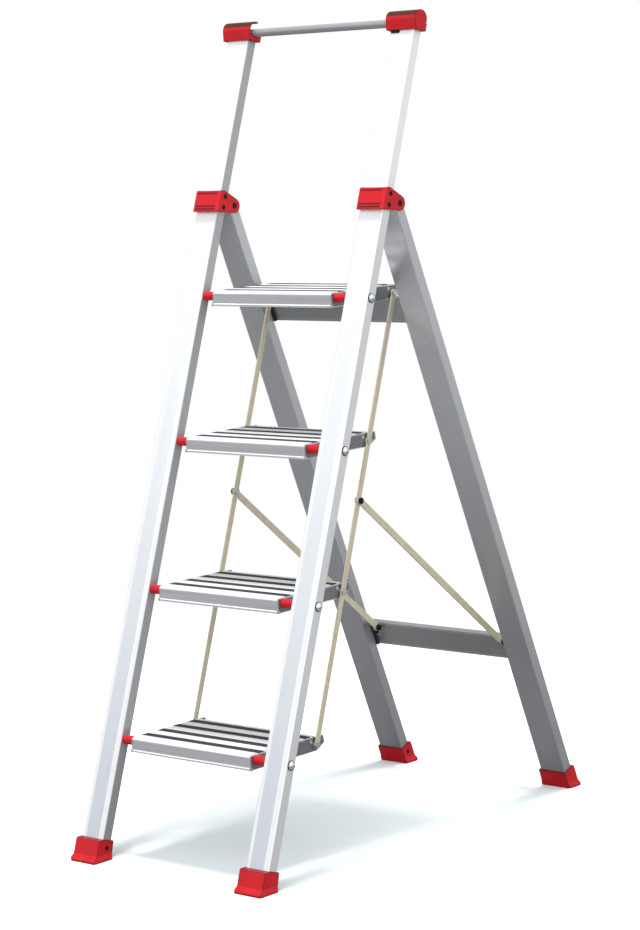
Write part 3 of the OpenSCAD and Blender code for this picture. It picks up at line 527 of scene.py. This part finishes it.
# A bracket's outline and the rim's inner line, by their places behind and above the pivot
RIM_OUTER = ((-0.0110, -0.0160), (0.1488, -0.0160), (0.1688, -0.0050),
             (0.1668, 0.0082), (-0.0110, 0.0082))
RIM_INNER = ((-0.0110, -0.0146), (0.1484, -0.0146), (0.1673, -0.0042),
             (0.1655, 0.0068), (-0.0110, 0.0068))
RIM_PROUD = 0.0003


def make_rim(number, name, side):
    """The folded bright edge round the outer face of a bracket, open at its front end."""
    pivot = STEPS[number]
    low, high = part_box(f"bracket_{name}_{number}")
    face = high[0] if side > 0 else low[0]
    work = bmesh.new()
    for place in range(len(RIM_OUTER) - 1):
        corners = (RIM_OUTER[place], RIM_OUTER[place + 1], RIM_INNER[place + 1], RIM_INNER[place])
        outline = [(pivot[1] + back, pivot[2] + up) for back, up in corners]
        add_prism(work, outline, 0, face, face + side * RIM_PROUD)
    finish_piece(f"bracket_rim_{name}_{number}", work, f"step_{number}", "bright_steel")


# A hinge cap's front ahead of the step bolts' plane, and its ribs, by their places below its top
CAP_FRONT = 0.01675
CAP_RIBS = (0.0035, 0.0262, 0.0312)
RIB_HALF = 0.0012
RIB_CROWN_HALF = 0.4 * RIB_HALF
RIB_PROUD = 0.0008
RIB_SUNK = 0.0003
RIB_INSET = 0.0065


def make_cap_ribs(name):
    """Three narrow moulded ribs across the front of a hinge cap."""
    low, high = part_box(f"hinge_cap_{name}")
    pivot = STEPS[1]
    work = bmesh.new()
    for drop in CAP_RIBS:
        outline = []
        for lift, out in ((-RIB_HALF, -RIB_SUNK), (-RIB_CROWN_HALF, RIB_PROUD),
                          (RIB_CROWN_HALF, RIB_PROUD), (RIB_HALF, -RIB_SUNK)):
            up = high[2] - drop + lift
            back = (up - pivot[2]) * math.tan(STILE_LEAN) - (CAP_FRONT + out) / math.cos(STILE_LEAN)
            outline.append((pivot[1] + back, up))
        add_prism(work, outline, 0, low[0] + RIB_INSET, high[0] - RIB_INSET)
    finish_piece(f"cap_ribs_{name}", work, "front_frame", "red_plastic")


for step_number in STEPS:
    make_channel_shade_and_dirt(step_number)
    for side_name, side_sign in SIDES:
        make_rim(step_number, side_name, side_sign)
for side_name, _ in SIDES:
    make_cap_ribs(side_name)
make_bolt_ends()

# ---- Floor and light ---------------------------------------------------------------------

# The floor is solid up to the first share of its radius, and gone at the second
FLOOR_RADIUS = 2.6
FLOOR_SEGMENTS = 96
FLOOR_FADE = (0.45, 0.97)
FLOOR_SHADES = ((0.90, 0.955, 0.96), (0.92, 0.97, 0.975))
FLOOR_BOUNCE = (0.22, 0.22, 0.22)

KEY_PLACE = (0.1, -0.1, 5.4)
KEY_TARGET = (0, 0, 0.4)
KEY_SIZE = 0.8
KEY_POWER = 215

# The world's light: two places on an axis of the unit sphere, and its strength at each
WORLD_COLOUR = (0.96, 0.98, 1.0)
WORLD_SIDE = (-0.6, 0.6, 0.5, 1.25)
WORLD_FRONT = (-0.9, 0.1, 1.9, 1.0)
WORLD_HEIGHT = (-0.3, 0.5, 0.35, 1.0)


def make_floor():
    """A round sheet of white paper that fades out well away from the ladder.

    The camera sees it nearly white, but it gives the ladder much less light back than that.
    """
    data = bpy.data.meshes.new("floor")
    work = bmesh.new()
    bmesh.ops.create_circle(work, cap_ends=True, segments=FLOOR_SEGMENTS, radius=FLOOR_RADIUS)
    work.to_mesh(data)
    work.free()
    floor = bpy.data.objects.new("floor", data)
    bpy.context.scene.collection.objects.link(floor)
    shader = Shader("floor_paper", roughness=0.9, specular=0.05)
    seen = shader.ramp(shader.noise(6.0, detail=2.0), list(zip((0.3, 0.7), FLOOR_SHADES)))
    seeing = shader.node("ShaderNodeLightPath").outputs["Is Camera Ray"]
    shader.colour(shader.mix(seeing, FLOOR_BOUNCE, seen))
    distance = shader.node("ShaderNodeVectorMath", operation="LENGTH")
    shader.link(shader.place, distance.inputs[0])
    limits = (*(share * FLOOR_RADIUS for share in FLOOR_FADE), 1.0, 0.0)
    fade = remap(shader.tree, distance.outputs["Value"], limits, interpolation_type="SMOOTHSTEP")
    shader.link(fade, shader.bsdf.inputs["Alpha"])
    data.materials.append(shader.material)


def make_key():
    """A soft light high above the ladder, which throws the shadow between its feet."""
    data = bpy.data.lights.new("key", "AREA")
    data.shape = "RECTANGLE"
    data.size = data.size_y = KEY_SIZE
    data.energy = KEY_POWER
    light = bpy.data.objects.new("key", data)
    bpy.context.scene.collection.objects.link(light)
    light.location = KEY_PLACE
    light.rotation_mode = "QUATERNION"
    light.rotation_quaternion = (Vector(KEY_TARGET) - Vector(KEY_PLACE)).to_track_quat("-Z", "Y")


def make_world():
    """White to the camera; as light, bright overhead, in front and on the right, dim low down."""
    world = bpy.data.worlds.new("studio")
    bpy.context.scene.world = world
    world.use_nodes = True
    tree = world.node_tree
    tree.nodes.clear()
    new, link = tree.nodes.new, tree.links.new
    direction = new("ShaderNodeSeparateXYZ")
    link(new("ShaderNodeTexCoord").outputs["Generated"], direction.inputs[0])
    level = remap(tree, direction.outputs["Y"], WORLD_FRONT)
    for axis, limits in (("Z", WORLD_HEIGHT), ("X", WORLD_SIDE)):
        product = new("ShaderNodeMath")
        product.operation = "MULTIPLY"
        link(level, product.inputs[0])
        link(remap(tree, direction.outputs[axis], limits), product.inputs[1])
        level = product.outputs[0]
    seen = new("ShaderNodeBackground")
    seen.inputs["Color"].default_value = (1, 1, 1, 1)
    felt = new("ShaderNodeBackground")
    felt.inputs["Color"].default_value = (*WORLD_COLOUR, 1)
    link(level, felt.inputs["Strength"])
    mixed = new("ShaderNodeMixShader")
    link(new("ShaderNodeLightPath").outputs["Is Camera Ray"], mixed.inputs["Fac"])
    link(felt.outputs[0], mixed.inputs[1])
    link(seen.outputs[0], mixed.inputs[2])
    link(mixed.outputs[0], new("ShaderNodeOutputWorld").inputs["Surface"])


make_floor()
make_key()
make_world()
bpy.context.scene.view_settings.view_transform = "Standard"
